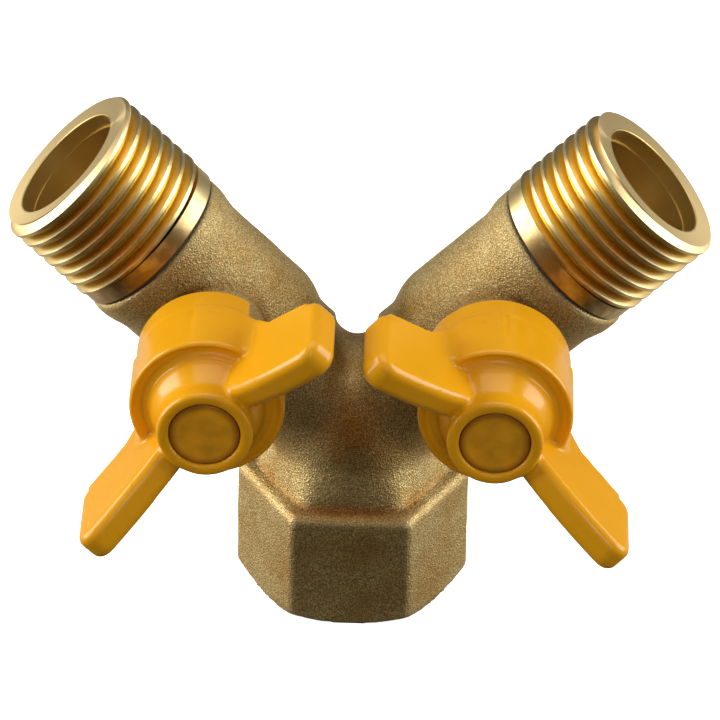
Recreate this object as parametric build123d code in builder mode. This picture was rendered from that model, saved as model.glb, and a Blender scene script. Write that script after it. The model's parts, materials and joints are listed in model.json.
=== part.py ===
from build123d import *
import os
from math import cos, degrees, radians, sin, tan

# Two-way brass hose splitter: a threaded hexagon inlet below, two branches leaning out at
# 45 degrees above it, and a small quarter-turn ball valve with a winged handle in each branch.
# Millimetres, +Z up. The origin is the centre of the inlet's end face. +Z runs up the inlet,
# the branches lie in the XZ plane, and the handles face -Y. Both valves stand closed.

os.makedirs("parts", exist_ok=True)

LEFT = -1
RIGHT = 1
NAMES = {LEFT: "left", RIGHT: "right"}
OUTWARD = Vector(0, -1, 0)

# How far a block drawn beside a curved surface runs into it
root_overlap = 1.0

# G 1/2 pipe thread, cut inside the inlet and outside both outlets
thread_pitch = 25.4 / 14
thread_major_r = 20.955 / 2
thread_depth = 0.640327 * thread_pitch
thread_root_r = thread_major_r - thread_depth
thread_flank = radians(27.5)
thread_crest = 0.44
thread_root_flat = 0.30
thread_overlap = 0.1

# Inlet hexagon
hex_flats = 25.0
hex_height = 15.3
hex_corner_r = 1.3
hex_top_r = 1.2
hex_chamfer_r = 12.6
hex_chamfer_angle = radians(30)
hex_reach = 20.0

# Inlet bore: plain mouth, thread, washer seat, waterway
mouth_r = 10.6
mouth_depth = 2.0
inlet_thread_end = 12.6
washer_seat_z = 15.0
waterway_r = 6.5
inlet_washer_thickness = 2.0
inlet_washer_r = 9.2
inlet_washer_bore_r = 6.6

# Trunk, which changes from a hexagon to a round between the inlet and the fork
trunk_flats = 21.8
trunk_corner_r = 2.6
valley_blend_r = 1.0
trunk_r = 10.0
trunk_round_z = 20.5
junction_z = 22.0
branch_angle = radians(45)

# Branch casting: lengths run along a branch from the point where the axes meet. The cast
# outside stands casting_shift off the machined bore, away from the other branch.
casting_shift = 0.3
neck_r = 8.4
passage_r = 5.0
barrel_start = 13.8
barrel_shoulder = 4.4
shoulder_rise = 0.3
barrel_r = 9.65
collar_start = 29.8
collar_full = 33.4
collar_r = 10.25
barrel_end = 35.1
barrel_end_r = 0.7
chamber_r = 8.2
chamber_start = 16.4
crotch_r = 2.0
crotch_floor_r = 10.3
crotch_groove_r = 2.6
crotch_groove_reach = radians(60)

# Outlet connector, sealed and screwed into the branch
sealant_thickness = 0.35
sealant_r = 10.05
connector_start = barrel_end + sealant_thickness
spigot_start = 31.6
spigot_r = 8.18
land_r = 10.25
land_end = 37.5
outlet_end = 49.67
outlet_face_r = 10.14
outlet_edge = 0.42
outlet_bore_r = 7.25
outlet_step_r = 7.45
outlet_step_depth = 2.0
outlet_mouth_chamfer = 0.1
spigot_bore_r = 5.5
bore_taper_start = 36.0
bore_taper_end = 38.0

# Ball valve
valve_along = 24.0
ball_r = 6.9
ball_bore_r = 4.3
slot_width = 2.7
slot_floor = 4.8
seat_bore_r = 4.5
seat_r = 8.15
seat_ball_gap = 0.02
seat_length = 3.4

# Stem, measured outward from the ball's centre
stem_r = 2.98
stem_hole_r = 3.02
stem_base = 7.0
stem_flange_r = 3.9
stem_flange_top = 8.72
stem_flat_start = 18.8
stem_end = 23.4
stem_flats = 4.5
stem_flat_gap = 0.03
tang_width = 2.5
tang_length = 6.0
tang_tip = 5.0
thrust_bore_r = 3.05
thrust_r = 4.0
thrust_start = 8.78
thrust_end = 9.38
pocket_r = 4.1
pocket_end = 9.4
o_ring_places = (11.4, 14.2)
o_ring_major_r = 2.53
o_ring_minor_r = 0.43
o_ring_groove_r = 2.05
o_ring_groove_width = 1.1
screw_hole_r = 1.7
screw_hole_end = 16.0

# Gland boss that carries the stem, with the stop lug on its side
boss_r = 6.3
boss_end = 18.5
boss_root = 6.0
lug_r = 7.3
lug_start = 13.2
lug_angle = 30.0

# Handle, measured outward from the ball's centre and radially from the stem
handle_back = 12.7
skirt_back_r = 8.9
skirt_back_chamfer = 0.4
skirt_step = 16.5
skirt_step_r = 8.83
skirt_step_length = 0.1
skirt_front_r = 9.2
skirt_bore_r = 7.7
skirt_window_angle = 104.0
skirt_window_turn = -40.5
skirt_window_reach = 12.0
rim_front = 25.1
rim_r = 0.6
rim_lip_r = 8.65
rim_lip_drop = 0.1
bowl_r = 8.15
bowl_floor = 24.55
bowl_middle = (6.45, 26.0)
bowl_slope = -0.06
web_back = 19.0
web_front = 23.6
ring_neck_r = 5.6
ring_neck_front = 28.4
ring_r = 5.7
ring_front = 30.9
ring_edge_r = 0.6
ring_mouth_chamfer = 0.3
cap_bore_r = 4.2
stop_rib_r = 6.5
stop_rib_angle = 20.0
wing_thickness = 3.9
wing_edge_r = 1.1
wing_corner_r = 2.1
long_wing_reach = 20.4
short_wing_reach = 19.7
wing_inner_r = 4.9
wing_root_r = 8.6
wing_notch = (12.2, 21.45)
wing_notch_r = 1.4
wing_slope = radians(25)
wing_flare_r = 1.8
wing_front_tip = 36.5
wing_front_middle = (11.9, 33.3)
wing_front_root = (4.6, 28.9)

# Handle fixing
spring_washer_r = 3.8
spring_washer_bore_r = 2.1
spring_washer_end = 24.5
spring_washer_gap = 0.9
spring_washer_skew = 20
screw_shank_r = 1.65
screw_tip = 17.0
screw_head_r = 3.5
screw_head_end = 26.9
screw_head_crown = 1.1
screw_tip_chamfer = 0.3
screw_recess_width = 0.9
screw_recess_length = 4.2
screw_recess_depth = 1.3
cap_r = 4.14
cap_disc_back = 29.2
cap_front = 30.6
cap_skirt_back = 27.9
cap_skirt_bore_r = 3.3
cap_edge_r = 0.25

# Quarter turn: both handles are square to their branch when closed, and overrun that by
# closed_overrun before the stop. Each one stands a little off square, by rest_turn.
quarter_turn = 90.0
closed_overrun = 3.5
stop_play = 0.3
rest_turn = {LEFT: 1.5, RIGHT: 3.5}
stop_rib_spread = quarter_turn + closed_overrun + 2 * stop_play + lug_angle + stop_rib_angle


def branch_direction(side):
    return Vector(side * sin(branch_angle), 0, cos(branch_angle))


def branch_point(side, along):
    return Vector(0, 0, junction_z) + branch_direction(side) * along


def branch_axis(side):
    return Axis((0, 0, junction_z), branch_direction(side))


def branch_section(side):
    """Plane through a branch's axis: local x along the branch, local y out from its axis."""
    return Plane((0, 0, junction_z), x_dir=branch_direction(side), z_dir=OUTWARD)


def casting_section(side):
    """The same plane, moved to the axis of the cast outside."""
    section = branch_section(side)
    return Plane(section.origin - side * section.y_dir * casting_shift, section.x_dir, section.z_dir)


def stem_point(side, outward=0.0):
    return branch_point(side, valve_along) + OUTWARD * outward


def stem_axis(side):
    return Axis(stem_point(side), OUTWARD)


def wing_direction(side):
    """Direction of the handle's long wing: the upper one on the left, the lower one on the right."""
    angle = radians(rest_turn[side]) - side * branch_angle
    return Vector(cos(angle), 0, sin(angle))


def stem_section(side):
    """Plane through the stem and both wings: local x along a wing, local y outward."""
    across = wing_direction(side)
    return Plane(stem_point(side), x_dir=across, z_dir=across.cross(OUTWARD))


def stem_plane(side, outward):
    """Plane across the stem: local x along the long wing."""
    return Plane(stem_point(side, outward), x_dir=wing_direction(side), z_dir=OUTWARD)


def thread_ridge(start, direction, length):
    """One start of the pipe thread's ridge, wound round an axis and sunk into its core."""
    half_root = (thread_pitch - thread_root_flat) / 2
    half_base = half_root + thread_overlap * tan(thread_flank)
    half_crest = thread_crest / 2
    with BuildPart() as ridge:
        with BuildLine() as path:
            Helix(thread_pitch, length, thread_root_r, center=start, direction=direction)
        radial = path.line @ 0 - start
        with BuildSketch(Plane(path.line @ 0, x_dir=radial, z_dir=radial.cross(direction))):
            Polygon(
                (-thread_overlap, -half_base),
                (thread_depth, -half_crest),
                (thread_depth, half_crest),
                (-thread_overlap, half_base),
                align=None,
            )
        sweep(path=path.line, is_frenet=True)
    return ridge.part


def sector(inner_r, outer_r, angle, mode=Mode.ADD):
    """A block between two radii whose sides point at the centre, drawn along local x."""
    spread = tan(radians(angle / 2))
    return Polygon(
        (inner_r, -inner_r * spread),
        (outer_r, -outer_r * spread),
        (outer_r, outer_r * spread),
        (inner_r, inner_r * spread),
        align=None,
        mode=mode,
    )


def make_body():
    inlet_groove = thread_ridge(
        Vector(0, 0, mouth_depth - thread_pitch / 2), Vector(0, 0, 1), inlet_thread_end - mouth_depth
    )
    with BuildPart() as body:
        with BuildSketch():
            RegularPolygon(hex_flats / 2, 6, major_radius=False)
            fillet(vertices(), hex_corner_r)
        extrude(amount=hex_height)
        fillet(body.faces().sort_by(Axis.Z)[-1].edges(), hex_top_r)
        with BuildSketch(Plane.XZ):
            with BuildLine():
                Polyline(
                    (hex_chamfer_r, 0),
                    (hex_reach, 0),
                    (hex_reach, (hex_reach - hex_chamfer_r) * tan(hex_chamfer_angle)),
                    close=True,
                )
            make_face()
        revolve(axis=Axis.Z, mode=Mode.SUBTRACT)

        # Trunk and the rounded core that closes the fork
        with BuildSketch(Plane.XY.offset(hex_height - hex_top_r)):
            RegularPolygon(trunk_flats / 2, 6, major_radius=False)
            fillet(vertices(), trunk_corner_r)
        with BuildSketch(Plane.XY.offset(trunk_round_z)):
            Circle(trunk_r)
        loft()
        with BuildSketch(Plane.XY.offset(trunk_round_z)):
            Circle(trunk_r)
        extrude(amount=junction_z - trunk_round_z)
        with Locations((0, 0, junction_z)):
            Sphere(trunk_r)

        # Branches: slim neck, stepped barrel over the ball, rolled collar at the open end
        for side in NAMES:
            casting = casting_section(side)
            with BuildSketch(casting):
                with BuildLine():
                    Line((0, 0), (0, neck_r))
                    Line((0, neck_r), (barrel_start, neck_r))
                    Spline(
                        (barrel_start, neck_r),
                        (barrel_start + barrel_shoulder, barrel_r),
                        tangents=[(1, shoulder_rise), (1, 0)],
                    )
                    Line((barrel_start + barrel_shoulder, barrel_r), (collar_start, barrel_r))
                    Spline(
                        (collar_start, barrel_r),
                        (collar_full, collar_r),
                        tangents=[(1, 0), (1, 0)],
                    )
                    Line((collar_full, collar_r), (barrel_end - barrel_end_r, collar_r))
                    RadiusArc(
                        (barrel_end - barrel_end_r, collar_r),
                        (barrel_end, collar_r - barrel_end_r),
                        barrel_end_r,
                    )
                    Line((barrel_end, collar_r - barrel_end_r), (barrel_end, 0))
                    Line((barrel_end, 0), (0, 0))
                make_face()
            revolve(axis=Axis(casting.origin, casting.x_dir))
        fillet(body.edges().filter_by(GeomType.ELLIPSE), crotch_r)
        valley = body.edges().filter_by(GeomType.BSPLINE).filter_by_position(Axis.Z, hex_height, hex_height)
        fillet(valley, valley_blend_r)

        # Rounded floor of the crotch between the branches, swept over the core from back to front
        across = Vector(1, 0, 0)
        groove_start = Vector(0, sin(crotch_groove_reach), cos(crotch_groove_reach))
        with BuildSketch(Plane((0, 0, junction_z), x_dir=across, z_dir=across.cross(groove_start))):
            with Locations((0, crotch_floor_r + crotch_groove_r)):
                Circle(crotch_groove_r)
        revolve(
            axis=Axis((0, 0, junction_z), across),
            revolution_arc=degrees(2 * crotch_groove_reach),
            mode=Mode.SUBTRACT,
        )

        # Gland bosses
        for side in NAMES:
            with BuildSketch(stem_plane(side, boss_root)):
                Circle(boss_r)
            extrude(amount=boss_end - boss_root)

        # Stop lugs, one on the outer side of each boss
        for side in NAMES:
            lug_turn = radians(90 - side * (quarter_turn - closed_overrun) / 2) - side * branch_angle
            lug_direction = Vector(cos(lug_turn), 0, sin(lug_turn))
            with BuildSketch(Plane(stem_point(side, lug_start), x_dir=lug_direction, z_dir=OUTWARD)):
                sector(boss_r - root_overlap, lug_r, lug_angle)
            extrude(amount=boss_end - lug_start)

        # Waterways
        with BuildSketch():
            Circle(mouth_r)
        extrude(amount=mouth_depth, mode=Mode.SUBTRACT)
        with BuildSketch():
            Circle(thread_root_r)
        extrude(amount=washer_seat_z, mode=Mode.SUBTRACT)
        with BuildSketch(Plane.XY.offset(washer_seat_z)):
            Circle(waterway_r)
        extrude(amount=junction_z - washer_seat_z, mode=Mode.SUBTRACT)
        with Locations((0, 0, junction_z)):
            Sphere(waterway_r, mode=Mode.SUBTRACT)
        for side in NAMES:
            with BuildSketch(branch_section(side)):
                with BuildLine():
                    Polyline(
                        (0, 0),
                        (0, passage_r),
                        (chamber_start, passage_r),
                        (chamber_start, chamber_r),
                        (barrel_end, chamber_r),
                        (barrel_end, 0),
                        close=True,
                    )
                make_face()
            revolve(axis=branch_axis(side), mode=Mode.SUBTRACT)
            with BuildSketch(stem_section(side)):
                with BuildLine():
                    Polyline(
                        (0, 0),
                        (pocket_r, 0),
                        (pocket_r, pocket_end),
                        (stem_hole_r, pocket_end),
                        (stem_hole_r, boss_end),
                        (0, boss_end),
                        close=True,
                    )
                make_face()
            revolve(axis=stem_axis(side), mode=Mode.SUBTRACT)
        add(inlet_groove, mode=Mode.SUBTRACT)
    return body


def make_connector(side):
    run = outlet_end - land_end
    ridge = thread_ridge(
        branch_point(side, land_end - thread_pitch / 2), branch_direction(side), run + thread_pitch
    )
    with BuildPart() as connector:
        with BuildSketch(branch_section(side)):
            with BuildLine():
                Polyline(
                    (land_end, spigot_bore_r),
                    (outlet_end, spigot_bore_r),
                    (outlet_end, outlet_face_r),
                    (outlet_end - outlet_edge, thread_major_r + thread_overlap),
                    (land_end, thread_major_r + thread_overlap),
                    close=True,
                )
            make_face()
        revolve(axis=branch_axis(side))
        add(ridge, mode=Mode.INTERSECT)
        with BuildSketch(branch_section(side)):
            with BuildLine():
                Polyline(
                    (spigot_start, spigot_bore_r),
                    (bore_taper_start, spigot_bore_r),
                    (bore_taper_end, outlet_bore_r),
                    (outlet_end - outlet_step_depth, outlet_bore_r),
                    (outlet_end - outlet_step_depth, outlet_step_r),
                    (outlet_end - outlet_mouth_chamfer, outlet_step_r),
                    (outlet_end, outlet_step_r + outlet_mouth_chamfer),
                    (outlet_end, thread_root_r),
                    (land_end, thread_root_r),
                    (land_end, land_r),
                    (connector_start, land_r),
                    (connector_start, spigot_r),
                    (spigot_start, spigot_r),
                    close=True,
                )
            make_face()
        revolve(axis=branch_axis(side))
    return connector


def make_sealant(side):
    with BuildPart() as sealant:
        with BuildSketch(Plane(branch_point(side, barrel_end), z_dir=branch_direction(side))):
            Circle(sealant_r)
            Circle(chamber_r, mode=Mode.SUBTRACT)
        extrude(amount=sealant_thickness)
    return sealant


def make_ball(side):
    across = wing_direction(side)
    with BuildPart() as ball:
        with Locations(stem_point(side)):
            Sphere(ball_r)
        with BuildSketch(Plane(stem_point(side), z_dir=across)):
            Circle(ball_bore_r)
        extrude(amount=ball_r, both=True, mode=Mode.SUBTRACT)
        with BuildSketch(stem_plane(side, slot_floor)):
            Rectangle(slot_width, 2 * ball_r)
        extrude(amount=ball_r - slot_floor, mode=Mode.SUBTRACT)
    return ball


def make_seat(side, start):
    with BuildPart() as seat:
        with BuildSketch(Plane(branch_point(side, start), z_dir=branch_direction(side))):
            Circle(seat_r)
            Circle(seat_bore_r, mode=Mode.SUBTRACT)
        extrude(amount=seat_length)
        with Locations(stem_point(side)):
            Sphere(ball_r + seat_ball_gap, mode=Mode.SUBTRACT)
    return seat


def make_stem(side):
    with BuildPart() as stem:
        with BuildSketch(stem_section(side)):
            with BuildLine():
                Polyline(
                    (0, stem_base),
                    (stem_flange_r, stem_base),
                    (stem_flange_r, stem_flange_top),
                    (stem_r, stem_flange_top),
                    (stem_r, stem_end),
                    (screw_hole_r, stem_end),
                    (screw_hole_r, screw_hole_end),
                    (0, screw_hole_end),
                    close=True,
                )
            make_face()
            for place in o_ring_places:
                with Locations(((o_ring_groove_r + stem_r) / 2, place)):
                    Rectangle(stem_r - o_ring_groove_r, o_ring_groove_width, mode=Mode.SUBTRACT)
        revolve(axis=stem_axis(side))
        with BuildSketch(stem_plane(side, tang_tip)):
            Rectangle(tang_width, tang_length)
        extrude(amount=stem_base - tang_tip)
        with BuildSketch(stem_plane(side, stem_flat_start)):
            Circle(stem_r + thread_overlap)
            Rectangle(stem_flats, 3 * stem_r, mode=Mode.SUBTRACT)
        extrude(amount=stem_end - stem_flat_start, mode=Mode.SUBTRACT)
    return stem


def make_thrust_washer(side):
    with BuildPart() as washer:
        with BuildSketch(stem_plane(side, thrust_start)):
            Circle(thrust_r)
            Circle(thrust_bore_r, mode=Mode.SUBTRACT)
        extrude(amount=thrust_end - thrust_start)
    return washer


def make_o_rings(side):
    with BuildPart() as rings:
        with BuildSketch(stem_section(side)):
            with Locations(*[(o_ring_major_r, place) for place in o_ring_places]):
                Circle(o_ring_minor_r)
        revolve(axis=stem_axis(side))
    return rings


def make_wing(side, reach):
    """A wing: a thick plate standing along the stem, with rounded edges and a flared root."""
    section = stem_section(side)
    back_tip = wing_notch[1] + (reach - wing_notch[0]) * tan(wing_slope)
    with BuildSketch(section) as outline:
        with BuildLine():
            Polyline(
                wing_front_root,
                (wing_inner_r, wing_front_root[1]),
                (wing_inner_r, skirt_step),
                (wing_root_r, skirt_step),
                wing_notch,
                (reach, back_tip),
                (reach, wing_front_tip),
            )
            ThreePointArc((reach, wing_front_tip), wing_front_middle, wing_front_root)
        make_face()
        fillet(vertices().sort_by_distance(wing_notch)[0], wing_notch_r)
        fillet(vertices().group_by(Axis.X)[-1], wing_corner_r)

    # Flared root that blends the plate into the drum's side, up to the rim
    with BuildPart() as flare:
        with BuildSketch(stem_plane(side, skirt_step)):
            Circle(skirt_front_r)
            with Locations((reach / 2, 0)):
                Rectangle(reach, wing_thickness)
            fillet(vertices().filter_by_position(Axis.X, wing_root_r, skirt_front_r), wing_flare_r)
            Circle(skirt_front_r - rim_r, mode=Mode.SUBTRACT)
            with Locations((-wing_thickness, 0)):
                Rectangle(2 * skirt_front_r, 2 * skirt_front_r, mode=Mode.SUBTRACT)
        extrude(amount=rim_front - rim_r - skirt_step)
        extrude(outline.sketch, amount=skirt_front_r, both=True, mode=Mode.INTERSECT)

    with BuildPart() as wing:
        extrude(outline.sketch, amount=wing_thickness / 2, both=True)
        rims = wing.faces().filter_by(Axis((0, 0, 0), section.z_dir)).edges()
        outer_rims = rims.filter_by(lambda rim: section.to_local_coords(rim.center()).X > wing_root_r)
        fillet(outer_rims, wing_edge_r)
        add(flare.part)
    return wing


def make_handle(side):
    """Drum with a bowl-shaped front round the fixing ring, and two wings. Both are one moulding."""
    long_wing = make_wing(side, long_wing_reach)
    short_wing = make_wing(side, short_wing_reach)
    with BuildPart() as handle:
        with BuildSketch(stem_section(side)):
            with BuildLine():
                Polyline((0, web_back), (0, ring_front), (ring_r - ring_edge_r, ring_front))
                RadiusArc(
                    (ring_r - ring_edge_r, ring_front), (ring_r, ring_front - ring_edge_r), ring_edge_r
                )
                Spline(
                    (ring_r, ring_front - ring_edge_r),
                    (ring_neck_r, ring_neck_front),
                    bowl_middle,
                    (bowl_r, bowl_floor),
                    tangents=[(0, -1), (1, bowl_slope)],
                )
                Spline(
                    (bowl_r, bowl_floor),
                    (rim_lip_r, rim_front - rim_lip_drop),
                    tangents=[(1, bowl_slope), (1, 1)],
                )
                Spline(
                    (rim_lip_r, rim_front - rim_lip_drop),
                    (skirt_front_r, rim_front - rim_r),
                    tangents=[(1, 1), (0, -1)],
                )
                Polyline(
                    (skirt_front_r, rim_front - rim_r),
                    (skirt_step_r, skirt_step),
                    (skirt_back_r, skirt_step - skirt_step_length),
                    (skirt_back_r, handle_back + skirt_back_chamfer),
                    (skirt_back_r - skirt_back_chamfer, handle_back),
                    (0, handle_back),
                    (0, web_back),
                )
            make_face()
        revolve(axis=stem_axis(side))
        add(long_wing.part)
        mirror(short_wing.part, about=Plane(stem_point(side), z_dir=wing_direction(side)))

        # Hollow behind the web, with two ribs that meet the body's stop lug
        with BuildSketch(stem_plane(side, handle_back)):
            Circle(skirt_bore_r)
            with PolarLocations(0, 2, quarter_turn - stop_rib_spread / 2, stop_rib_spread, endpoint=True):
                sector(stop_rib_r, skirt_bore_r + root_overlap, stop_rib_angle, mode=Mode.SUBTRACT)
        extrude(amount=web_back - handle_back, mode=Mode.SUBTRACT)

        # Window cut in the back of the skirt beside the long wing
        with BuildSketch(stem_plane(side, handle_back)):
            with PolarLocations(0, 1, skirt_window_turn):
                sector(root_overlap, skirt_window_reach, skirt_window_angle)
        extrude(amount=skirt_step - handle_back, mode=Mode.SUBTRACT)

        # Recess for the washer, screw and cap
        with BuildSketch(stem_section(side)):
            with BuildLine():
                Polyline(
                    (0, web_front),
                    (cap_bore_r, web_front),
                    (cap_bore_r, ring_front - ring_mouth_chamfer),
                    (cap_bore_r + ring_mouth_chamfer, ring_front),
                    (0, ring_front),
                    close=True,
                )
            make_face()
        revolve(axis=stem_axis(side), mode=Mode.SUBTRACT)

        # Hole with two flats that fits the stem
        with BuildSketch(stem_plane(side, web_back)):
            Circle(stem_hole_r)
            Rectangle(stem_flats + 2 * stem_flat_gap, 3 * stem_r, mode=Mode.INTERSECT)
        extrude(amount=web_front - web_back, mode=Mode.SUBTRACT)
    return handle


def make_spring_washer(side):
    with BuildPart() as washer:
        with BuildSketch(stem_plane(side, web_front)):
            Circle(spring_washer_r)
            Circle(spring_washer_bore_r, mode=Mode.SUBTRACT)
            with Locations(((spring_washer_r + spring_washer_bore_r) / 2, 0)):
                Rectangle(
                    spring_washer_r, spring_washer_gap, rotation=spring_washer_skew, mode=Mode.SUBTRACT
                )
        extrude(amount=spring_washer_end - web_front)
    return washer


def make_screw(side):
    with BuildPart() as screw:
        with BuildSketch(stem_section(side)):
            with BuildLine():
                Polyline(
                    (0, screw_tip),
                    (screw_shank_r - screw_tip_chamfer, screw_tip),
                    (screw_shank_r, screw_tip + screw_tip_chamfer),
                    (screw_shank_r, spring_washer_end),
                    (screw_head_r, spring_washer_end),
                    (screw_head_r, screw_head_end),
                    (0, screw_head_end),
                    close=True,
                )
            make_face()
            fillet(vertices().sort_by_distance((screw_head_r, screw_head_end))[0], screw_head_crown)
        revolve(axis=stem_axis(side))
        with BuildSketch(stem_plane(side, screw_head_end - screw_recess_depth)):
            Rectangle(screw_recess_length, screw_recess_width)
            Rectangle(screw_recess_width, screw_recess_length)
        extrude(amount=screw_recess_depth, mode=Mode.SUBTRACT)
    return screw


def make_cap(side):
    with BuildPart() as cap:
        with BuildSketch(stem_plane(side, cap_skirt_back)):
            Circle(cap_r)
        extrude(amount=cap_front - cap_skirt_back)
        fillet(cap.faces().sort_by(stem_axis(side))[-1].edges(), cap_edge_r)
        with BuildSketch(stem_plane(side, cap_skirt_back)):
            Circle(cap_skirt_bore_r)
        extrude(amount=cap_disc_back - cap_skirt_back, mode=Mode.SUBTRACT)
    return cap


def make_inlet_washer():
    with BuildPart() as washer:
        with BuildSketch(Plane.XY.offset(washer_seat_z - inlet_washer_thickness)):
            Circle(inlet_washer_r)
            Circle(inlet_washer_bore_r, mode=Mode.SUBTRACT)
        extrude(amount=inlet_washer_thickness)
    return washer


if __name__ == "__main__":
    pieces = {"valve_body": make_body(), "inlet_washer": make_inlet_washer()}
    for side, name in NAMES.items():
        pieces[name + "_outlet_connector"] = make_connector(side)
        pieces[name + "_joint_sealant"] = make_sealant(side)
        pieces[name + "_ball"] = make_ball(side)
        pieces[name + "_inner_seat"] = make_seat(side, chamber_start)
        pieces[name + "_outer_seat"] = make_seat(side, spigot_start - seat_length)
        pieces[name + "_stem"] = make_stem(side)
        pieces[name + "_thrust_washer"] = make_thrust_washer(side)
        pieces[name + "_stem_o_rings"] = make_o_rings(side)
        pieces[name + "_handle"] = make_handle(side)
        pieces[name + "_spring_washer"] = make_spring_washer(side)
        pieces[name + "_handle_screw"] = make_screw(side)
        pieces[name + "_handle_cap"] = make_cap(side)
    for name, piece in pieces.items():
        piece.part.label = name
        export_step(piece.part, "parts/" + name + ".step")
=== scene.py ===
import json
from math import cos, radians, sin, tau

import bpy
import numpy as np
from mathutils import Matrix, Vector


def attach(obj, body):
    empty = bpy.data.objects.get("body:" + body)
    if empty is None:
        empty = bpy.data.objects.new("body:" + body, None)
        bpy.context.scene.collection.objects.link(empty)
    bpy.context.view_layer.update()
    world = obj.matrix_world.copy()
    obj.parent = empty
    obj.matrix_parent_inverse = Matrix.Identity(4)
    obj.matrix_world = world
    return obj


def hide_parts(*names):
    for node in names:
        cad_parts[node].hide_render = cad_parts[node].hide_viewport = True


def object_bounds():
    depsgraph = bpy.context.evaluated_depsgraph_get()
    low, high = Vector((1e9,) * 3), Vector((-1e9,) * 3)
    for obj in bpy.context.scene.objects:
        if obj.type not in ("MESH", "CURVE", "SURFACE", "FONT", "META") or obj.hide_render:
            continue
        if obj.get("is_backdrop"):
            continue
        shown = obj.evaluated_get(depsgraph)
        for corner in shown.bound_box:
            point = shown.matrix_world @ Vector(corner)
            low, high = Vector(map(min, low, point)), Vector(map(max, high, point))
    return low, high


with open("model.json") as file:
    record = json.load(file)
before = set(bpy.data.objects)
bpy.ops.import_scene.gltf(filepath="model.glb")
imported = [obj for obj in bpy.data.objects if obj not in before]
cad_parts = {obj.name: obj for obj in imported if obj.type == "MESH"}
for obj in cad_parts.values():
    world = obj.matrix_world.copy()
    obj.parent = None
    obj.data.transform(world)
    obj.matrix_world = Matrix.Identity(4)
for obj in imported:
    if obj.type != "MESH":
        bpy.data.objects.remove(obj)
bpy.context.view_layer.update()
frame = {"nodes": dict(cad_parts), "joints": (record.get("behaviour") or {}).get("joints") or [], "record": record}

MM = 0.001
NODES = frame["nodes"]
JOINTS = {joint["name"]: joint for joint in frame["joints"]}
MOUNTS = {mount["name"]: mount for mount in frame["record"]["mounts"]}
BODY = "splitter_body"
SIDES = ("left", "right")
SLOTS = {row["node"]: row["material_slot"] for row in frame["record"]["subparts"]}
BRANCH_LEAN = radians(45)

# Camera: a long lens a little above the handles, turned slightly to the right and tilted
CAMERA_TARGET = Vector((0.51, 0.0, 30.45)) * MM
CAMERA_DISTANCE = 707.7 * MM
CAMERA_AZIMUTH = radians(0.946)
CAMERA_ELEVATION = radians(32.575)
CAMERA_ROLL = radians(1.222)
CAMERA_LENS = 290.4
CAMERA_NEAR = 0.05
CAMERA_FAR = 20.0

# Smoothing: each round moves a point this share of the way to the middle of its neighbours
SMOOTHING = 0.5

# Casting: the grid its skin is rebuilt on, its softened edges, the soft joins between its forms
# (a ring round each branch, growing towards the front and back), and its slight unevenness
CAST_VOXEL = 0.27 * MM
CAST_EDGE_ROUNDS = 2
CAST_JOIN_ALONG = 5.4 * MM
CAST_JOIN_RADIUS = 8.4 * MM
CAST_JOIN_REACH = 3.0 * MM
CAST_JOIN_START = 3.0 * MM
CAST_JOIN_FULL = 7.0 * MM
CAST_JOIN_ROUNDS = 130
CAST_SWELL = 0.025 * MM
CAST_SWELL_SIZE = 6.0 * MM
CAST_RIPPLE = 0.007 * MM
CAST_RIPPLE_SIZE = 1.1 * MM
CAST_SWELL_SEED = 1
CAST_RIPPLE_SEED = 2
SWELL_PITCHES = (0.7, 1.3)

# Hollows of the casting are where its smoothed skin stands outside the real one
HOLLOW_ROUNDS = 40
HOLLOW_BLUR_ROUNDS = 6

# Where the casting is machined: inlet, branch chambers and ends, stem pockets and boss ends
CUT_MARGIN = 0.12 * MM
INLET_BORE_R = 10.6 * MM
INLET_BORE_DEPTH = 15.0 * MM
CHAMBER_R = 8.2 * MM
CHAMBER_START = 16.4 * MM
BARREL_END = 35.1 * MM
POCKET_R = 4.1 * MM
POCKET_START = 7.0 * MM
BOSS_END = 18.5 * MM

# The outer end of each boss, with its stop lug, is eased off a little to leave room for the handle
BOSS_TIP_RADIUS = 8.0 * MM
BOSS_TIP_START = 12.6 * MM
BOSS_TIP_EASE = 0.09 * MM

# Painted shade: a brown band on the ledge above the hexagon, in front
LEDGE_HEIGHT = 15.4 * MM
LEDGE_REACH = 0.55 * MM
LEDGE_RADIUS = 10.6 * MM
LEDGE_HALF_WIDTH = 7.0 * MM

# Painted shade, with a reddish painted reflection of the handles, on the front of the fork
FORK_SHADE_PLACE = (0.0, -9.5 * MM, 26.5 * MM)
FORK_SHADE_REACH = 5.0 * MM

# Caps: plain in the middle, darkened towards the edge by a painted shadow ring
CAP_SHADOW_START_R = 3.2 * MM
CAP_RIM_R = 4.15 * MM

# Turned brass: painted shade darkens the bores, a deeper gold painted reflection fills the thread grooves, and the
# land by the joint is darkened in front by stain with painted shade
BORE_TONE_R = 7.5 * MM
BORE_TONE_FADE = 0.3 * MM
GROOVE_TONE_R = 9.6 * MM
GROOVE_TONE_FADE = 0.7 * MM
GROOVE_TONE_END = 48.9 * MM
ADDED_ROUGHNESS = 0.12
LAND_END = 37.9 * MM
LAND_FRONT_START = 3.0 * MM
LAND_FRONT_FULL = 8.5 * MM

# Handles: the grid, the softened edges, the softened root of each wing, and the rings in the bowl,
# which fade out at its inner and outer edge and beside the wings
HANDLE_VOXEL = 0.2 * MM
HANDLE_EDGE_ROUNDS = 3
WING_HALF_THICKNESS = 1.95 * MM
WING_ROOT_START = 4.5 * MM
WING_ROOT_END = 10.5 * MM
WING_ROOT_REACH = 0.9 * MM
WING_ROOT_ROUNDS = 14
BOWL_START = 5.9 * MM
BOWL_START_FADE = 1.0 * MM
BOWL_END = 8.3 * MM
BOWL_END_FADE = 0.5 * MM
BOWL_WING_FADE = 1.0 * MM
BOWL_FACING = 0.2
BOWL_RING_PITCH = 0.9 * MM
BOWL_RING_DEPTH = 0.045 * MM
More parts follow.
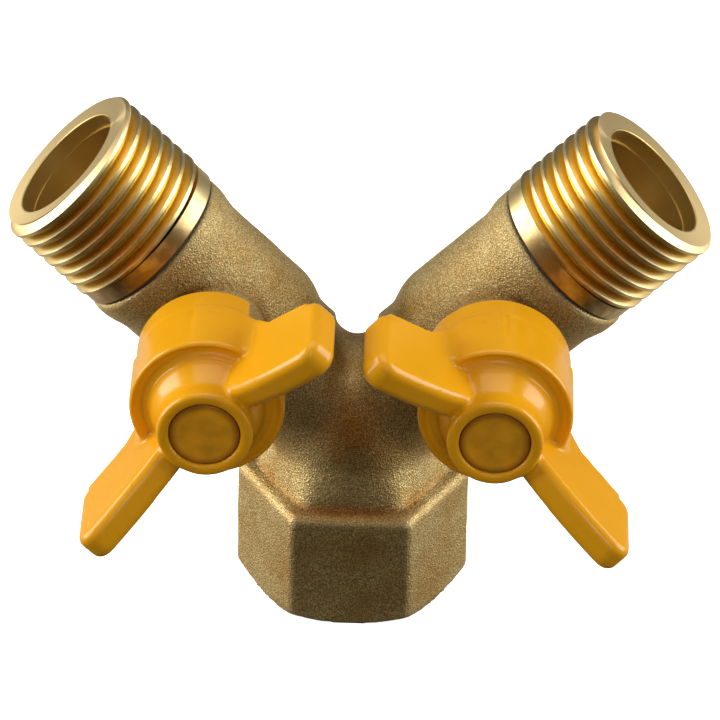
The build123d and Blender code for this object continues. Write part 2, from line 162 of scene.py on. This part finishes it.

# Colours of the casting: its grain from dark to light, then tints laid over it (painted shade in its hollows, on
# the ledge and on the front of the fork) and its lighter edges, partly rubbed wear and partly painted highlight
CAST_GRAIN = [
    (0.34, (0.25, 0.175, 0.065)),
    (0.50, (0.49, 0.365, 0.15)),
    (0.66, (0.88, 0.70, 0.36)),
]
CAST_PATCH_TINT = (0.86, 0.72, 0.52)
CAST_HOLLOW_PAINTED_SHADE = (0.60, 0.46, 0.32)
CAST_FORK_PAINTED_SHADE = (0.62, 0.40, 0.20)
CAST_LEDGE_PAINTED_SHADE = (0.52, 0.34, 0.22)
CAST_EDGE_WEAR_AND_HIGHLIGHT = (0.58, 0.46, 0.24)

# Colours of the turned brass
TURNED_TONE = (0.80, 0.65, 0.34)
TURNED_STAIN_TONE = (0.64, 0.47, 0.18)
TURNED_MARK_TONE = (0.72, 0.57, 0.27)
GROOVE_PAINTED_REFLECTION = (0.72, 0.46, 0.07)
END_TONE = (0.90, 0.69, 0.34)
BORE_PAINTED_SHADE = (0.64, 0.47, 0.17)
LAND_STAIN_AND_SHADE = (0.52, 0.42, 0.34)

# Colours of the handles and caps
PLASTIC_TONE = (0.76, 0.345, 0.006)
PLASTIC_FLOW_TONE = (0.72, 0.32, 0.005)
PLASTIC_SCUFF_TONE = (0.64, 0.27, 0.010)
PLASTIC_BLEED = (0.0012, 0.0005, 0.0001)
CAP_TONE = (0.92, 0.40, 0.010)
CAP_CLOUD_TONE = (0.64, 0.28, 0.008)
CAP_RIM_PAINTED_SHADOW = (0.34, 0.22, 0.20)

# Studio: a floor that is white to the camera and, in reflections, pale with a dark part in front
FLOOR_HALF = 3.0
FLOOR_CLEARANCE = 0.02 * MM
FLOOR_TONE = (0.92, 0.92, 0.92)
FLOOR_GLOW = 0.85
CARD_START = 0.0 * MM
CARD_FADE = 18.0 * MM
CARD_SPREAD = 0.15
CARD_PALE_TONE = (0.46, 0.43, 0.38)
CARD_DARK_TONE = (0.065, 0.055, 0.042)
WORLD_TONE = (0.80, 0.80, 0.80, 1.0)
WORLD_STRENGTH = 0.16

# Lights: name, place, size across and up, power, and whether the object mirrors it
LIGHTS = [
    ("left_softbox", (-0.55, 0.04, 0.20), (0.45, 0.45), 4.2, True),
    ("right_softbox", (0.55, 0.04, 0.20), (0.45, 0.45), 3.3, True),
    ("top_softbox", (0.0, 0.10, 0.65), (0.6, 0.5), 1.75, True),
    ("front_fill", (0.0, -0.52, 0.30), (0.5, 0.4), 0.8, False),
    ("front_sparkle", (0.05, -0.50, 0.30), (0.12, 0.12), 0.17, True),
]


# ---------------------------------------------------------------- mesh helpers
class Line:
    """An axis in space: how far along it points lie, and how far from it."""

    def __init__(self, place, direction):
        self.place = np.array(place, float)
        self.direction = np.array(direction, float)
        self.direction /= np.linalg.norm(self.direction)

    def along(self, points):
        return (points - self.place) @ self.direction

    def radius(self, points):
        offset = points - self.place
        return np.linalg.norm(offset - np.outer(offset @ self.direction, self.direction), axis=1)


INLET = Line(MOUNTS["inlet_face"]["pos_m"], (0, 0, 1))
STEMS = {side: Line(JOINTS[side + "_valve_turn"]["pos_m"], (0, -1, 0)) for side in SIDES}


def branch_line(side):
    """A branch's axis, starting at the point where it crosses the inlet's axis."""
    mount = MOUNTS[side + "_outlet_thread"]
    place = np.array(mount["pos_m"])
    direction = np.array(mount["axis"])
    return Line(place - direction * place[0] / direction[0], direction)


BRANCHES = {side: branch_line(side) for side in SIDES}


def read_points(mesh):
    points = np.empty(len(mesh.vertices) * 3)
    mesh.vertices.foreach_get("co", points)
    return points.reshape(-1, 3)


def write_points(mesh, points):
    mesh.vertices.foreach_set("co", points.ravel())
    mesh.update()


def read_normals(mesh):
    normals = np.empty(len(mesh.vertices) * 3)
    mesh.vertex_normals.foreach_get("vector", normals)
    return normals.reshape(-1, 3)


def read_edges(mesh):
    edges = np.empty(len(mesh.edges) * 2, np.int32)
    mesh.edges.foreach_get("vertices", edges)
    return edges.reshape(-1, 2)


def store(mesh, name, values):
    """Keeps one number per vertex on the mesh, for its material to read."""
    layer = mesh.attributes.new(name, "FLOAT", "POINT")
    layer.data.foreach_set("value", values.astype(np.float32))


def relax(points, edges, weight, rounds):
    """Moves each point towards the middle of its neighbours, by its weight, some rounds over."""
    total = len(points)
    first, second = edges.T
    count = np.bincount(first, minlength=total) + np.bincount(second, minlength=total)
    share = (weight / np.maximum(count, 1))[:, None]
    for _ in range(rounds):
        sums = np.stack([
            np.bincount(first, values[second], total) + np.bincount(second, values[first], total)
            for values in points.T
        ], axis=1)
        points = points + share * (sums - points * count[:, None])
    return points


def swell(points, size, seed, waves=32):
    """A smooth random field over space, mostly within -1 to 1, with hills about size apart."""
    draw = np.random.default_rng(seed)
    field = np.zeros(len(points))
    for _ in range(waves):
        direction = draw.normal(size=3)
        direction /= np.linalg.norm(direction)
        pitch = tau / size * draw.uniform(*SWELL_PITCHES)
        field += np.cos(points @ direction * pitch + draw.uniform(0, tau))
    return field / np.sqrt(waves)


def voxel_copy(name, node, voxel):
    """A new piece: a CAD node's surface rebuilt as an even skin of small quads."""
    piece = bpy.data.objects.new(name, NODES[node].data.copy())
    bpy.context.scene.collection.objects.link(piece)
    remesh = piece.modifiers.new("skin", "REMESH")
    remesh.mode = "VOXEL"
    remesh.voxel_size = voxel
    graph = bpy.context.evaluated_depsgraph_get()
    rebuilt = bpy.data.meshes.new_from_object(piece.evaluated_get(graph))
    piece.modifiers.clear()
    piece.data = rebuilt
    rebuilt.shade_smooth()
    return piece


def stand_in(piece, node, body):
    """The piece takes over from its CAD node and moves with its body."""
    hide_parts(node)
    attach(piece, body)


# ---------------------------------------------------------------- node helpers
class Shader:
    """A node tree under construction: each method adds a node and returns its output."""

    def __init__(self, name):
        self.material = bpy.data.materials.new(name)
        self.material.use_nodes = True
        self.tree = self.material.node_tree
        self.tree.nodes.clear()
        self.output = self.tree.nodes.new("ShaderNodeOutputMaterial")
        self.place = self.node("ShaderNodeTexCoord").outputs["Object"]

    def put(self, socket, value):
        if isinstance(value, bpy.types.NodeSocket):
            self.tree.links.new(value, socket)
        elif isinstance(value, tuple) and len(value) == 3 and socket.type == "RGBA":
            socket.default_value = (*value, 1.0)
        else:
            socket.default_value = value

    def node(self, kind, inputs=(), **settings):
        made = self.tree.nodes.new(kind)
        for key, value in settings.items():
            setattr(made, key, value)
        for key, value in dict(inputs).items():
            self.put(made.inputs[key], value)
        return made

    def noise(self, size, detail=2.0, rough=0.5):
        """Soft noise, 0 to 1, whose spots are about size apart."""
        inputs = {"Vector": self.place, "Scale": 1.0 / size, "Detail": detail, "Roughness": rough}
        return self.node("ShaderNodeTexNoise", inputs).outputs["Fac"]

    def lines(self, value, size, detail=2.0):
        """Noise that changes only with one value, for turning marks."""
        inputs = {"W": value, "Scale": 1.0 / size, "Detail": detail}
        return self.node("ShaderNodeTexNoise", inputs, noise_dimensions="1D").outputs["Fac"]

    def cells(self, size):
        """Distance to the nearest of many scattered spots, for shallow dents."""
        inputs = {"Vector": self.place, "Scale": 1.0 / size}
        return self.node("ShaderNodeTexVoronoi", inputs).outputs["Distance"]

    def stored(self, name):
        """A number kept per vertex on the mesh."""
        return self.node("ShaderNodeAttribute", attribute_name=name).outputs["Fac"]

    def math(self, operation, a, b=0.0, clamp=False):
        made = self.node("ShaderNodeMath", {0: a, 1: b}, operation=operation, use_clamp=clamp)
        return made.outputs[0]

    def ramp(self, value, stops):
        made = self.node("ShaderNodeValToRGB", {"Fac": value})
        points = made.color_ramp.elements
        while len(points) < len(stops):
            points.new(0.5)
        for point, (place, colour) in zip(points, stops):
            point.position = place
            point.color = (*colour, 1.0)
        return made.outputs["Color"]

    def between(self, value, low, high):
        """0 where value is at low, 1 where it is at high."""
        inputs = {"Value": value, "From Min": low, "From Max": high}
        return self.node("ShaderNodeMapRange", inputs, clamp=True).outputs[0]

    def mix(self, share, a, b, blend="MIX"):
        made = self.node("ShaderNodeMix", data_type="RGBA", blend_type=blend)
        colours = [socket for socket in made.inputs if socket.type == "RGBA"]
        self.put(made.inputs["Factor"], share)
        self.put(colours[0], a)
        self.put(colours[1], b)
        return next(socket for socket in made.outputs if socket.type == "RGBA")

    def bump(self, height, depth):
        return self.node("ShaderNodeBump", {"Height": height, "Distance": depth}).outputs["Normal"]

    def surface(self, **inputs):
        """The main shader. Input names are written with underscores."""
        named = {key.replace("_", " "): value for key, value in inputs.items()}
        made = self.node("ShaderNodeBsdfPrincipled", named)
        self.tree.links.new(made.outputs["BSDF"], self.output.inputs["Surface"])
        return self.material


# ---------------------------------------------------------------- materials
def cast_brass():
    """Raw shot-blasted casting: olive gold with fine sparkle, painted brown shade in hollows, lighter on edges
    (partly rubbed wear, partly painted highlight).
    """
    s = Shader("cast_brass")
    grain = s.noise(0.15 * MM, 2.0, 0.6)
    fleck = s.noise(0.36 * MM, 2.0, 0.6)
    dents = s.cells(0.24 * MM)
    patches = s.noise(7.0 * MM, 3.0, 0.6)
    uneven = s.math("MULTIPLY", s.math("SUBTRACT", patches, 0.5), 0.05)
    hollow = s.math("ADD", s.stored("hollow"), uneven)
    tone = s.ramp(grain, CAST_GRAIN)
    tone = s.mix(s.between(patches, 0.45, 0.75), tone, CAST_PATCH_TINT, "MULTIPLY")
    # painted shade: the hollows of the casting are darkened and browned
    tone = s.mix(s.between(hollow, 0.0, 0.16), tone, CAST_HOLLOW_PAINTED_SHADE, "MULTIPLY")
    # painted shade and reddish painted reflection of the handles on the front of the fork
    tone = s.mix(s.stored("fork_painted_shade"), tone, CAST_FORK_PAINTED_SHADE, "MULTIPLY")
    # lighter convex edges: partly rubbed wear, partly painted highlight
    tone = s.mix(s.between(hollow, -0.10, -0.50), tone, CAST_EDGE_WEAR_AND_HIGHLIGHT)
    # painted shade on the ledge above the hexagon, in front
    tone = s.mix(s.stored("ledge"), tone, CAST_LEDGE_PAINTED_SHADE, "MULTIPLY")
    rough = s.between(fleck, 0.2, 0.8)
    rough = s.math("ADD", s.math("MULTIPLY", rough, -0.15), 0.68)
    pits = s.math("ADD", s.math("MULTIPLY", fleck, 0.6), dents)
    height = s.math("ADD", s.math("MULTIPLY", grain, 0.5), pits)
    return s.surface(Base_Color=tone, Metallic=1.0, Roughness=rough, Normal=s.bump(height, 0.06 * MM))


def turned_brass(name, along, radius):
    """Bright lathe-turned brass, with fine tool marks round the axis it was turned on, painted shade in its bores,
    a deeper gold painted reflection in its thread grooves, and stain with painted shade on the front of its land.

    along and radius are functions that give a place's distance along that axis and from it.
    """
    s = Shader(name)
    x, y, z = s.node("ShaderNodeSeparateXYZ", {0: s.place}).outputs
    along, radius = along(s, x, y, z), radius(s, x, y, z)
    end = s.between(along, GROOVE_TONE_END, GROOVE_TONE_END + BORE_TONE_FADE)
    land = s.between(along, LAND_END + BORE_TONE_FADE, LAND_END)
    land = s.math("MULTIPLY", land, s.between(y, -LAND_FRONT_START, -LAND_FRONT_FULL))
    across = s.math("ADD", along, radius)
    inside = s.between(radius, BORE_TONE_R + BORE_TONE_FADE, BORE_TONE_R)
    groove = s.between(radius, GROOVE_TONE_R + GROOVE_TONE_FADE, GROOVE_TONE_R)
    groove = s.math("MULTIPLY", groove, s.math("SUBTRACT", 1.0, end))
    fine = s.lines(across, 0.07 * MM, 3.0)
    coarse = s.lines(across, 0.5 * MM, 2.0)
    blotch = s.noise(3.5 * MM, 3.0, 0.6)
    tone = s.mix(s.between(blotch, 0.35, 0.75), TURNED_TONE, TURNED_STAIN_TONE)
    tone = s.mix(s.between(coarse, 0.45, 0.8), tone, TURNED_MARK_TONE)
    # painted reflection: a deeper gold in the thread grooves stands in for light bounced between the flanks
    tone = s.mix(groove, tone, GROOVE_PAINTED_REFLECTION)
    tone = s.mix(end, tone, END_TONE)
    # painted shade inside the bores
    tone = s.mix(inside, tone, BORE_PAINTED_SHADE)
    # the front of the land is darkened in patches: partly stain, partly painted shade
    stained_and_shaded = s.math("MULTIPLY", land, s.between(blotch, 0.25, 0.55))
    tone = s.mix(stained_and_shaded, tone, LAND_STAIN_AND_SHADE, "MULTIPLY")
    rough = s.math("ADD", s.math("MULTIPLY", fine, 0.22), 0.22)
    rough = s.math("ADD", rough, s.math("MULTIPLY", s.math("ADD", groove, end), ADDED_ROUGHNESS))
    height = s.math("ADD", s.math("MULTIPLY", fine, 0.4), coarse)
    return s.surface(
        Base_Color=tone, Metallic=1.0, Roughness=rough, Normal=s.bump(height, 0.006 * MM),
        Anisotropic=0.35,
    )


def branch_turned_brass():
    """Turned round the branch axes, which lean out at 45 degrees on both sides."""
    junction = float(BRANCHES["left"].place[2])
    slope = sin(BRANCH_LEAN)

    def along(s, x, y, z):
        total = s.math("ADD", s.math("ABSOLUTE", x), s.math("SUBTRACT", z, junction))
        return s.math("MULTIPLY", total, slope)

    def radius(s, x, y, z):
        across = s.math("SUBTRACT", s.math("ABSOLUTE", x), s.math("SUBTRACT", z, junction))
        across = s.math("MULTIPLY", across, slope)
        squares = s.math("ADD", s.math("MULTIPLY", across, across), s.math("MULTIPLY", y, y))
        return s.math("SQRT", squares)

    return turned_brass("machined_brass", along, radius)


def bored_brass():
    """Turned round the inlet's axis."""

    def along(s, x, y, z):
        return z

    def radius(s, x, y, z):
        return s.math("SQRT", s.math("ADD", s.math("MULTIPLY", x, x), s.math("MULTIPLY", y, y)))

    return turned_brass("bored_brass", along, radius)


def orange_plastic():
    """Moulded handle: warm orange, softly glossy, with faint flow marks and handling scuffs."""
    s = Shader("orange_plastic")
    flow = s.noise(5.0 * MM, 3.0, 0.55)
    scuff = s.noise(0.9 * MM, 3.0, 0.65)
    tone = s.mix(flow, PLASTIC_TONE, PLASTIC_FLOW_TONE)
    tone = s.mix(s.between(scuff, 0.62, 0.80), tone, PLASTIC_SCUFF_TONE)
    rough = s.math("ADD", s.math("MULTIPLY", scuff, 0.16), 0.14)
    height = s.math("ADD", s.noise(1.6 * MM, 2.0), s.math("MULTIPLY", scuff, 0.2))
    return s.surface(
        Base_Color=tone, Roughness=rough, IOR=1.45, Specular_IOR_Level=0.42,
        Subsurface_Weight=0.06, Subsurface_Radius=PLASTIC_BLEED, Subsurface_Scale=1.0,
        Normal=s.bump(height, 0.008 * MM),
    )


def gold_cap():
    """Satin brown-gold press-in cap, darker towards its edge with a painted shadow ring."""
    s = Shader("gold_cap")
    x, _, z = s.node("ShaderNodeSeparateXYZ", {0: s.place}).outputs
    centre = STEMS["right"].place
    across = s.math("SUBTRACT", s.math("ABSOLUTE", x), float(centre[0]))
    up = s.math("SUBTRACT", z, float(centre[2]))
    squares = s.math("ADD", s.math("MULTIPLY", across, across), s.math("MULTIPLY", up, up))
    rim = s.between(s.math("SQRT", squares), CAP_SHADOW_START_R, CAP_RIM_R)
    cloud = s.noise(2.5 * MM, 3.0)
    tone = s.mix(s.between(cloud, 0.3, 0.7), CAP_TONE, CAP_CLOUD_TONE)
    # painted shadow ring round the cap's edge
    tone = s.mix(rim, tone, CAP_RIM_PAINTED_SHADOW, "MULTIPLY")
    rough = s.math("ADD", s.math("MULTIPLY", s.noise(0.5 * MM), 0.15), 0.34)
    relief = s.bump(s.noise(0.35 * MM), 0.003 * MM)
    return s.surface(Base_Color=tone, Metallic=0.2, Roughness=rough, Normal=relief)


def plain(name, colour, metallic, rough, size=1.1 * MM, depth=0.01 * MM):
    """A simple finish for the inner pieces: a little variation in colour, gloss and relief."""
    s = Shader(name)
    darker = tuple(channel * 0.8 for channel in colour)
    tone = s.mix(s.noise(4 * size, 3.0), colour, darker)
    speck = s.noise(size)
    finish = s.math("MULTIPLY", s.math("ADD", s.math("MULTIPLY", speck, 0.3), 0.85), rough, clamp=True)
    return s.surface(Base_Color=tone, Metallic=metallic, Roughness=finish, Normal=s.bump(speck, depth))


MATERIALS = {
    "cast_brass": cast_brass(),
    "machined_brass": branch_turned_brass(),
    "bored_brass": bored_brass(),
    "orange_plastic": orange_plastic(),
    "gold_cap": gold_cap(),
    "stem_brass": plain("stem_brass", (0.80, 0.60, 0.26), 1.0, 0.25),
    "chromed_ball": plain("chromed_ball", (0.80, 0.80, 0.82), 1.0, 0.08, depth=0.001 * MM),
    "white_ptfe": plain("white_ptfe", (0.86, 0.86, 0.84), 0.0, 0.5),
    "black_rubber": plain("black_rubber", (0.03, 0.03, 0.03), 0.0, 0.65),
    "thread_sealant": plain("thread_sealant", (0.055, 0.028, 0.012), 0.0, 0.8),
    "zinc_steel": plain("zinc_steel", (0.66, 0.66, 0.67), 1.0, 0.3),
}


# ---------------------------------------------------------------- pieces
def machined(points):
    """True where a cutting tool has been: in the bores, and on the casting's end faces."""
    height = INLET.along(points)
    cut = (INLET.radius(points) < INLET_BORE_R + CUT_MARGIN) & (height < INLET_BORE_DEPTH + CUT_MARGIN)
    cut |= height < CUT_MARGIN
    for side in SIDES:
        branch = BRANCHES[side]
        along = branch.along(points)
        cut |= (branch.radius(points) < CHAMBER_R + CUT_MARGIN) & (along > CHAMBER_START - CUT_MARGIN)
        cut |= along > BARREL_END - CUT_MARGIN
        stem = STEMS[side]
        outward = stem.along(points)
        cut |= (stem.radius(points) < POCKET_R + CUT_MARGIN) & (outward > POCKET_START)
        cut |= outward > BOSS_END - CUT_MARGIN
    return cut


def make_casting():
    """The cast body: softly joined forms with the slight unevenness of a sand casting."""
    piece = voxel_copy("valve_body_casting", "valve_body", CAST_VOXEL)
    mesh = piece.data
    points = read_points(mesh)
    edges = read_edges(mesh)
    cut = machined(points)
    cast = ~cut
    points = relax(points, edges, SMOOTHING * cast, CAST_EDGE_ROUNDS)

    join = np.zeros(len(points))
    for side in SIDES:
        branch = BRANCHES[side]
        along = branch.along(points) - CAST_JOIN_ALONG
        gap = np.hypot(along, branch.radius(points) - CAST_JOIN_RADIUS)
        join = np.maximum(join, np.exp(-(gap / CAST_JOIN_REACH) ** 2))
    beyond = np.abs(points[:, 1]) - CAST_JOIN_START
    join *= np.clip(beyond / (CAST_JOIN_FULL - CAST_JOIN_START), 0, 1)
    points = relax(points, edges, SMOOTHING * join * cast, CAST_JOIN_ROUNDS)

    write_points(mesh, points)
    normals = read_normals(mesh)
    everywhere = np.full(len(points), SMOOTHING)
    smooth = relax(points, edges, everywhere, HOLLOW_ROUNDS)
    hollow = np.einsum("ij,ij->i", smooth - points, normals) / MM
    store(mesh, "hollow", relax(hollow[:, None], edges, everywhere, HOLLOW_BLUR_ROUNDS)[:, 0])
    # painted shade on the front of the ledge above the hexagon
    height = (INLET.along(points) - LEDGE_HEIGHT) / LEDGE_REACH
    facing = np.exp(-(points[:, 0] / LEDGE_HALF_WIDTH) ** 4)
    store(mesh, "ledge", np.exp(-height ** 2) * (INLET.radius(points) > LEDGE_RADIUS) * facing)
    # painted shade on the front of the fork, under the handles
    blotch = np.linalg.norm(points - np.array(FORK_SHADE_PLACE), axis=1) / FORK_SHADE_REACH
    store(mesh, "fork_painted_shade", np.exp(-blotch ** 2))

    depth = CAST_SWELL * swell(points, CAST_SWELL_SIZE, CAST_SWELL_SEED)
    depth += CAST_RIPPLE * swell(points, CAST_RIPPLE_SIZE, CAST_RIPPLE_SEED)
    for stem in STEMS.values():
        tip = (stem.radius(points) < BOSS_TIP_RADIUS) & (stem.along(points) > BOSS_TIP_START)
        depth = np.where(tip, -BOSS_TIP_EASE, depth)
    write_points(mesh, points + normals * (depth * cast)[:, None])

    mesh.materials.clear()
    mesh.materials.append(MATERIALS["cast_brass"])
    mesh.materials.append(MATERIALS["bored_brass"])
    centres = np.empty(len(mesh.polygons) * 3)
    mesh.polygons.foreach_get("center", centres)
    bored = machined(centres.reshape(-1, 3)).astype(np.int32)
    mesh.polygons.foreach_set("material_index", bored)
    stand_in(piece, "valve_body", BODY)


def make_handle(side):
    """A moulded handle: the CAD form with softened wing roots and faint rings in its bowl."""
    node = side + "_handle"
    piece = voxel_copy(node + "_moulding", node, HANDLE_VOXEL)
    mesh = piece.data
    points = read_points(mesh)
    edges = read_edges(mesh)
    stem = STEMS[side]
    radius = stem.radius(points)

    flat = (points - stem.place)[:, (0, 2)]
    wing = np.linalg.svd(flat[radius > WING_ROOT_END], full_matrices=False)[2][0]
    beside = np.abs(flat[:, 0] * wing[1] - flat[:, 1] * wing[0]) - WING_HALF_THICKNESS
    root = np.exp(-(beside / WING_ROOT_REACH) ** 2)
    root = root * (radius > WING_ROOT_START) * (radius < WING_ROOT_END)
    points = relax(points, edges, np.full(len(points), SMOOTHING), HANDLE_EDGE_ROUNDS)
    points = relax(points, edges, SMOOTHING * root, WING_ROOT_ROUNDS)
    write_points(mesh, points)

    normals = read_normals(mesh)
    bowl = np.clip((radius - BOWL_START) / BOWL_START_FADE, 0, 1)
    bowl = bowl * np.clip((BOWL_END - radius) / BOWL_END_FADE, 0, 1)
    bowl = bowl * (normals @ stem.direction > BOWL_FACING) * np.clip(beside / BOWL_WING_FADE, 0, 1)
    rings = BOWL_RING_DEPTH * np.sin(radius * tau / BOWL_RING_PITCH) * bowl
    write_points(mesh, points + normals * rings[:, None])

    mesh.materials.clear()
    mesh.materials.append(MATERIALS["orange_plastic"])
    stand_in(piece, node, side + "_valve_turner")


def dress_nodes(replaced):
    """Every CAD node that stays gets its material."""
    for node, slot_name in SLOTS.items():
        if node not in replaced:
            piece = NODES[node]
            piece.data.materials.clear()
            piece.data.materials.append(MATERIALS[slot_name])


# ---------------------------------------------------------------- studio
def floor_material():
    """White to the camera. In reflections it is pale, and dark in front of the object."""
    s = Shader("studio_floor")
    seen = s.node("ShaderNodeBsdfDiffuse", {"Color": FLOOR_TONE}).outputs[0]
    glow = s.node("ShaderNodeEmission", {"Color": (1.0, 1.0, 1.0), "Strength": FLOOR_GLOW}).outputs[0]
    seen = s.node("ShaderNodeAddShader", {0: seen, 1: glow}).outputs[0]
    x, y, _ = s.node("ShaderNodeSeparateXYZ", {0: s.place}).outputs
    sideways = s.math("MULTIPLY", s.math("ABSOLUTE", x), CARD_SPREAD)
    front = s.math("SUBTRACT", s.math("MULTIPLY", y, -1.0), sideways)
    card = s.between(front, CARD_START, CARD_START + CARD_FADE)
    tone = s.mix(card, CARD_PALE_TONE, CARD_DARK_TONE)
    bounced = s.node("ShaderNodeBsdfDiffuse", {"Color": tone}).outputs[0]
    direct = s.node("ShaderNodeLightPath").outputs["Is Camera Ray"]
    blend = s.node("ShaderNodeMixShader", {0: direct, 1: bounced, 2: seen}).outputs[0]
    s.tree.links.new(blend, s.output.inputs["Surface"])
    return s.material


def make_floor():
    mesh = bpy.data.meshes.new("studio_floor")
    corners = [(-FLOOR_HALF, -FLOOR_HALF, 0), (FLOOR_HALF, -FLOOR_HALF, 0)]
    corners += [(FLOOR_HALF, FLOOR_HALF, 0), (-FLOOR_HALF, FLOOR_HALF, 0)]
    mesh.from_pydata(corners, [], [(0, 1, 2, 3)])
    floor = bpy.data.objects.new("studio_floor", mesh)
    floor.location.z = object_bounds()[0].z - FLOOR_CLEARANCE
    bpy.context.scene.collection.objects.link(floor)
    mesh.materials.append(floor_material())
    floor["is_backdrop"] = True


def add_light(name, place, size, power, reflected):
    """A soft rectangular light aimed at the object's middle."""
    low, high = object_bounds()
    middle = (low + high) / 2
    data = bpy.data.lights.new(name, "AREA")
    data.shape = "RECTANGLE"
    data.size, data.size_y = size
    data.energy = power
    light = bpy.data.objects.new(name, data)
    light.location = place
    light.visible_glossy = reflected
    light.rotation_mode = "QUATERNION"
    light.rotation_quaternion = (middle - Vector(place)).to_track_quat("-Z", "Y")
    bpy.context.scene.collection.objects.link(light)


def make_world():
    """An even, dim room."""
    world = bpy.data.worlds.new("studio")
    world.use_nodes = True
    background = world.node_tree.nodes["Background"]
    background.inputs["Color"].default_value = WORLD_TONE
    background.inputs["Strength"].default_value = WORLD_STRENGTH
    bpy.context.scene.world = world


def make_studio():
    make_floor()
    for light in LIGHTS:
        add_light(*light)
    make_world()
    bpy.context.scene.view_settings.view_transform = "Standard"


def make_camera():
    back = Vector((
        sin(CAMERA_AZIMUTH) * cos(CAMERA_ELEVATION),
        -cos(CAMERA_AZIMUTH) * cos(CAMERA_ELEVATION),
        sin(CAMERA_ELEVATION),
    ))
    right = Vector((cos(CAMERA_AZIMUTH), sin(CAMERA_AZIMUTH), 0.0))
    up = back.cross(right)
    tilted_right = right * cos(CAMERA_ROLL) + up * sin(CAMERA_ROLL)
    tilted_up = up * cos(CAMERA_ROLL) - right * sin(CAMERA_ROLL)
    data = bpy.data.cameras.new("camera")
    data.lens = CAMERA_LENS
    data.clip_start, data.clip_end = CAMERA_NEAR, CAMERA_FAR
    camera = bpy.data.objects.new("camera", data)
    turn = Matrix((tilted_right, tilted_up, back)).transposed().to_4x4()
    camera.matrix_world = Matrix.Translation(CAMERA_TARGET + back * CAMERA_DISTANCE) @ turn
    bpy.context.scene.collection.objects.link(camera)
    bpy.context.scene.camera = camera


make_casting()
for side in SIDES:
    make_handle(side)
dress_nodes(("valve_body", "left_handle", "right_handle"))
make_studio()
make_camera()
